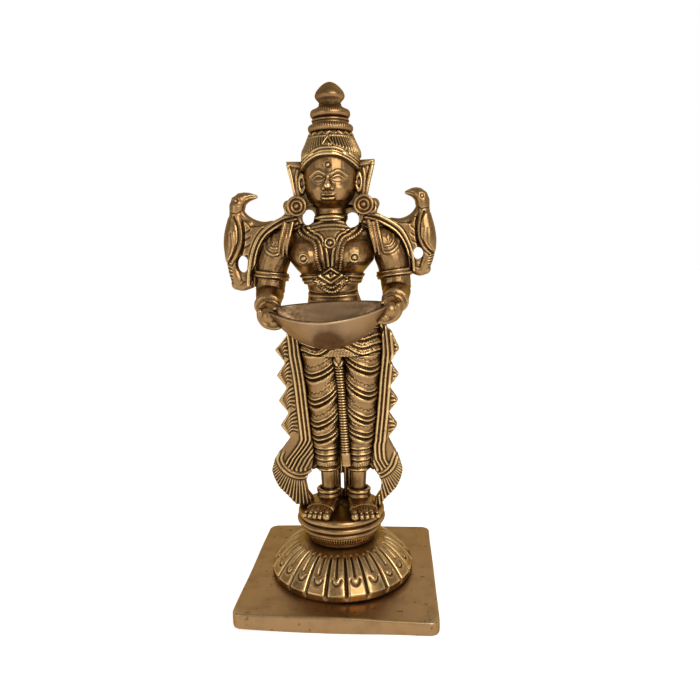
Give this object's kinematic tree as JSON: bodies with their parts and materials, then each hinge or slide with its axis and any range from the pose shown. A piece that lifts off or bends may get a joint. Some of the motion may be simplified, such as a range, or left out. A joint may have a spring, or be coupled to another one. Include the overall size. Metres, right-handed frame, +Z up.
{
  "type": "figure oil lamp",
  "caption": "Cast brass oil lamp: a standing crowned woman on a lotus pedestal and square plate holds a spouted bowl; the figure unscrews from the lotus.",
  "frame": {"origin": "centre of the square base plate, on the surface it stands on", "axes": "+Z up through the figure; the figure and the bowl's spout face -Y; +X is the figure's own left"},
  "size_m": [0.0835, 0.076, 0.1992],
  "materials": {
    "cast_brass": "antique, dark in the recesses and polished on the ridges",
    "plate_brass": "antique satin",
    "bowl_brass": "brushed satin",
    "screw_steel": "plain",
    "washer_leather": "plain"
  },
  "bodies": {
    "base": {"base_plate": "plate_brass", "lotus_pedestal": "cast_brass", "base_screw": "screw_steel", "base_washer": "screw_steel"},
    "washer": {"seat_washer": "washer_leather"},
    "figure": {"pedestal_seat": "cast_brass", "seat_stud": "cast_brass", "foot_pegs": "cast_brass", "left_foot": "cast_brass", "right_foot": "cast_brass", "left_anklets": "cast_brass", "right_anklets": "cast_brass", "left_leg": "cast_brass", "right_leg": "cast_brass", "centre_sash": "cast_brass", "back_pleat": "cast_brass", "left_scarf": "cast_brass", "right_scarf": "cast_brass", "hips": "cast_brass", "hip_belt": "cast_brass", "waist_dowel": "cast_brass", "torso": "cast_brass", "chest_belt": "cast_brass", "collar": "cast_brass", "shoulder_dowels": "cast_brass", "left_arm": "cast_brass", "right_arm": "cast_brass", "left_armlet": "cast_brass", "right_armlet": "cast_brass", "left_bangles": "cast_brass", "right_bangles": "cast_brass", "oil_bowl": "bowl_brass", "left_shoulder_drape": "cast_brass", "right_shoulder_drape": "cast_brass", "left_bird": "cast_brass", "right_bird": "cast_brass", "neck_dowel": "cast_brass", "head": "cast_brass", "left_ear_ornament": "cast_brass", "right_ear_ornament": "cast_brass", "left_earring": "cast_brass", "right_earring": "cast_brass", "hair_plait": "cast_brass", "crown_dowel": "cast_brass", "crown": "cast_brass", "crown_knob": "cast_brass"}
  },
  "joints": [
    {"name": "figure_lift", "type": "slide", "parent": "base", "child": "washer", "axis": [0, 0, 1], "range_m": [0, 0.0075]},
    {"name": "figure_turn", "type": "hinge", "parent": "washer", "child": "figure", "pos_m": [0, 0, 0.021], "axis": [0, 0, 1], "range_deg": [0, 2160]}
  ],
  "couplings": [
    {"joint": "figure_lift", "follows": "figure_turn", "m_per_rad": 0.00019894}
  ]
}
